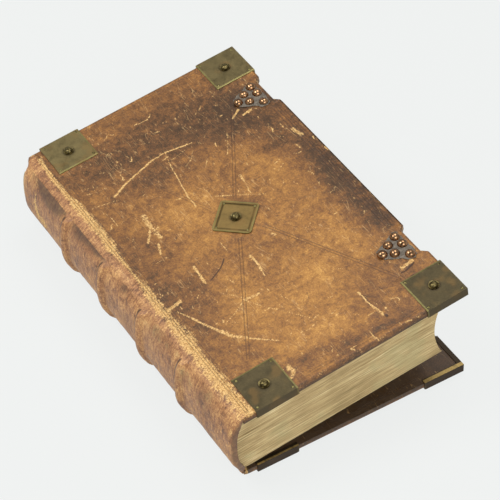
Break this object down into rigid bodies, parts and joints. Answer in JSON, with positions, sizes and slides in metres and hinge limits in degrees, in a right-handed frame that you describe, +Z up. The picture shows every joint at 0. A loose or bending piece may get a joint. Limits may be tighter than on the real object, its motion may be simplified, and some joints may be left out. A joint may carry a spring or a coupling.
{
  "type": "antique leather book",
  "caption": "Old folio in blind-tooled brown leather over wooden boards, with raised bands, brass corner shoes, centre plates and domed clasp nails; both covers open.",
  "frame": {"origin": "worn flat top of the lower centre boss, on which the book rests, under the middle of the lower cover", "axes": "+X from the spine to the fore-edge, +Y from the tail to the head, +Z up from the lower cover to the upper cover"},
  "size_m": [0.2131, 0.3451, 0.1006],
  "materials": {
    "board_wood": "quartered wood, hand-planed",
    "cover_leather": "worn brown leather, blind tooled",
    "spine_leather": "worn brown leather, rubbed on the bands",
    "strap_leather": "torn, grimy leather",
    "pastedown_paper": "laid paper, aged",
    "sewing_cord": "twisted hemp cord",
    "peg_wood": "whittled wood",
    "leaves": "trimmed edges of aged paper",
    "lining": "pasted linen and paper",
    "nail_brass": "domed and rubbed bright",
    "boss_brass": "turned, tarnished",
    "pin_brass": "tarnished",
    "sheet_brass": "hammered sheet, dark with tarnish"
  },
  "bodies": {
    "lower_cover": {"lower_board": "board_wood", "lower_cover_leather": "cover_leather", "lower_pastedown": "pastedown_paper", "lower_lacing_slips": "sewing_cord", "lower_lacing_pegs": "peg_wood", "lower_tail_spine_shoe": "sheet_brass", "lower_head_spine_shoe": "sheet_brass", "lower_tail_fore_shoe": "sheet_brass", "lower_head_fore_shoe": "sheet_brass", "lower_centre_plate": "sheet_brass", "lower_corner_bosses": "boss_brass", "lower_centre_boss": "boss_brass", "lower_plate_pins": "pin_brass"},
    "block": {"text_block": "leaves", "spine_leather": "spine_leather", "spine_linings": "lining", "sewing_cord_1": "sewing_cord", "sewing_cord_2": "sewing_cord", "sewing_cord_3": "sewing_cord", "sewing_cord_4": "sewing_cord"},
    "upper_cover": {"upper_board": "board_wood", "upper_cover_leather": "cover_leather", "upper_pastedown": "pastedown_paper", "upper_lacing_slips": "sewing_cord", "upper_lacing_pegs": "peg_wood", "upper_tail_spine_shoe": "sheet_brass", "upper_head_spine_shoe": "sheet_brass", "upper_tail_fore_shoe": "sheet_brass", "upper_head_fore_shoe": "sheet_brass", "upper_centre_plate": "sheet_brass", "upper_corner_bosses": "boss_brass", "upper_centre_boss": "boss_brass", "upper_plate_pins": "pin_brass", "tail_clasp_nails": "nail_brass", "head_clasp_nails": "nail_brass", "tail_strap_stub": "strap_leather", "head_strap_stub": "strap_leather"}
  },
  "joints": [
    {"name": "lower_joint", "type": "hinge", "parent": "lower_cover", "child": "block", "pos_m": [-0.099, 0, 0.00481], "axis": [0, -1, 0], "range_deg": [0, 95]},
    {"name": "upper_joint", "type": "hinge", "parent": "block", "child": "upper_cover", "pos_m": [-0.10004, 0, 0.07172], "axis": [0, -1, 0], "range_deg": [0, 175]}
  ]
}
